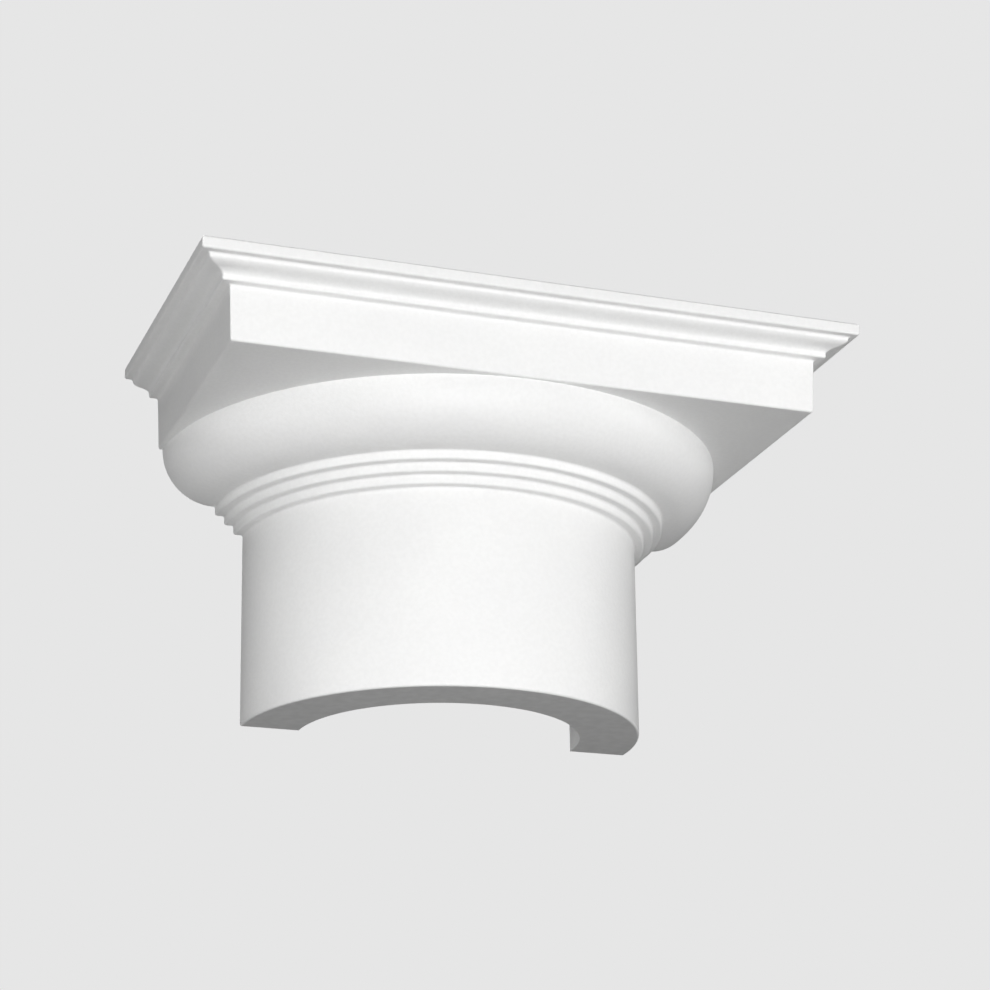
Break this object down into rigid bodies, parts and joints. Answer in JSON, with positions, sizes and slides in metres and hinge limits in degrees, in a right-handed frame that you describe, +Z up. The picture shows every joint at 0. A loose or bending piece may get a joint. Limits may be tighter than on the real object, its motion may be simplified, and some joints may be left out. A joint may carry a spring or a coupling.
{
  "type": "half column capital",
  "caption": "Half-round column capital with a plain neck, stepped annulets, an ovolo and a half-square abacus, flat at the back and hollow for a post.",
  "frame": {"origin": "on the surface it stands on, in the middle of the outer box", "axes": "+X along the width, +Y towards the wall, so the front faces -Y, +Z up from the neck to the abacus"},
  "size_m": [0.357, 0.1784, 0.1968],
  "materials": {
    "primed_foam": "satin white factory primer on hard moulded polyurethane foam"
  },
  "bodies": {
    "root": {"half_column_capital": "primed_foam"}
  },
  "joints": []
}
